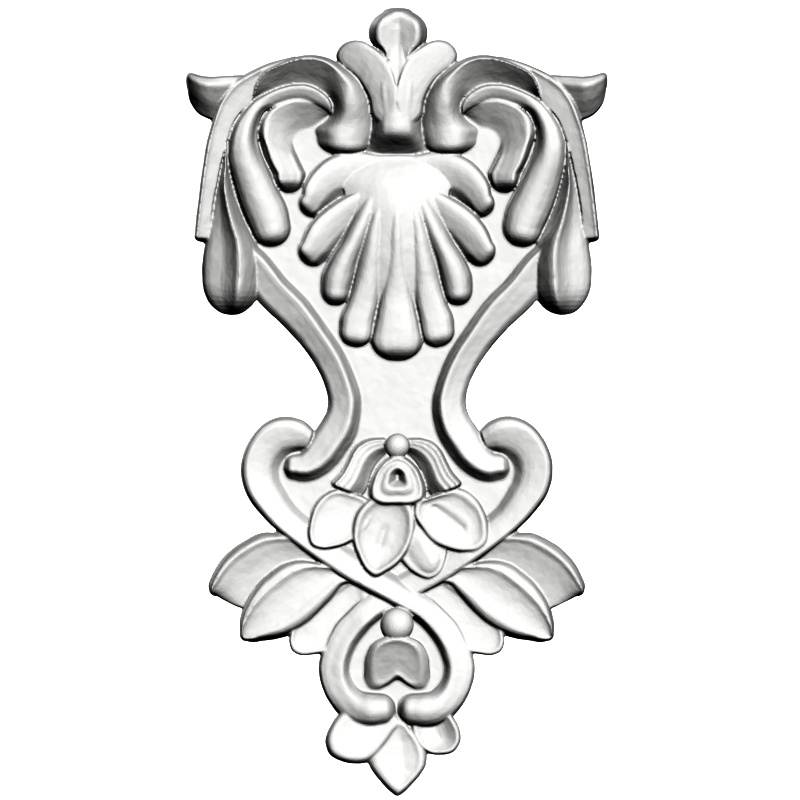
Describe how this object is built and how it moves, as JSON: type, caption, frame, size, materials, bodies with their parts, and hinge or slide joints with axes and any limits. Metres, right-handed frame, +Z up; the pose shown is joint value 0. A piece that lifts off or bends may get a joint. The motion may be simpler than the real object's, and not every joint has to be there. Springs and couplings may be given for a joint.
{
  "type": "carved onlay",
  "caption": "Tall carved drop onlay in low relief: crossed scrolls, a shell, a hanging flower and leaves over a sunk ground, flat at the back.",
  "frame": {"origin": "on the flat back, at the middle of the onlay's height and on its middle line", "axes": "+Z up along the onlay's height, +X to the right as seen from the front, +Y out of the flat back into the wall, so the carving faces -Y"},
  "size_m": [0.169, 0.0225, 0.3152],
  "materials": {
    "white_gesso": "close-grained carved wood under a thin coat of matt white gesso"
  },
  "bodies": {
    "root": {"carved_onlay": "white_gesso"}
  },
  "joints": []
}
